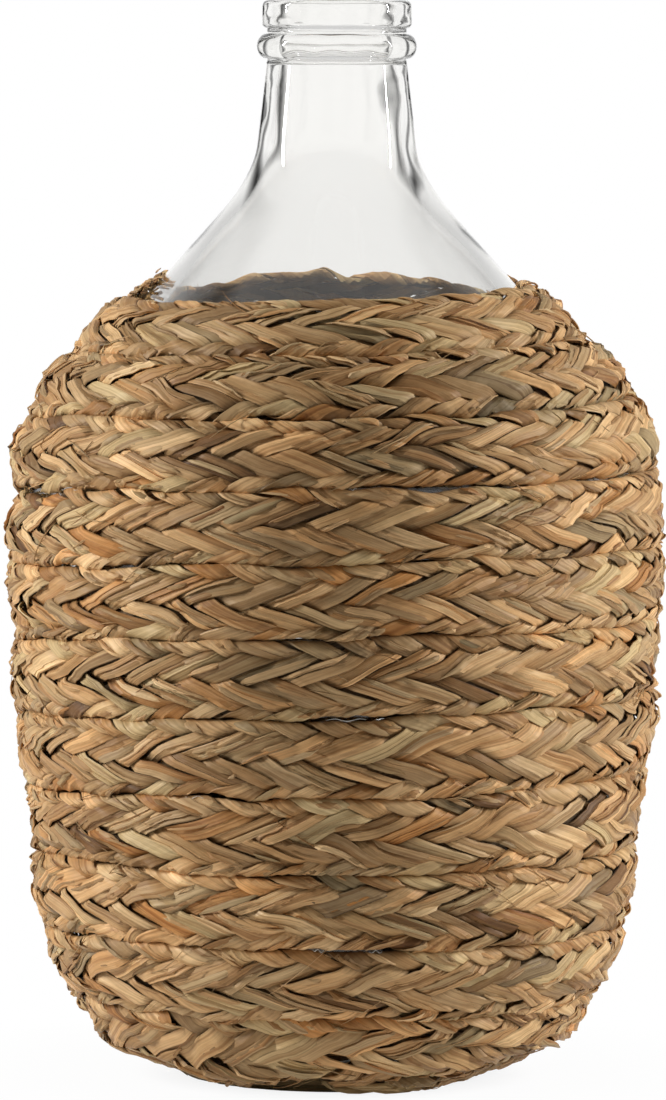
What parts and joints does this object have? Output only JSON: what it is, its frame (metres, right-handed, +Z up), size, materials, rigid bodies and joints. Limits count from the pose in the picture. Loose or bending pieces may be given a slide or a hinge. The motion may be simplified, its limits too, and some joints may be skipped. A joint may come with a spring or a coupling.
{
  "type": "demijohn bottle with plaited cover",
  "caption": "Wide-bellied clear glass demijohn with a narrow neck, a collar ring and a pushed-up foot, its body covered by a flat plait of dried leaves wound up in a rising spiral.",
  "frame": {"origin": "centre of the foot, on the surface the bottle stands on", "axes": "+Z up along the bottle's axis, -Y towards the side shown in the picture, +X to the right there"},
  "size_m": [0.2768, 0.2765, 0.45],
  "materials": {
    "clear_glass": "clear, glossy, faintly grey-green",
    "dried_seagrass": "dry plaited leaves, matt to silky, tan with straw, grey-green and rust-brown strands"
  },
  "bodies": {
    "root": {"glass_bottle": "clear_glass", "seagrass_plait": "dried_seagrass"}
  },
  "joints": []
}
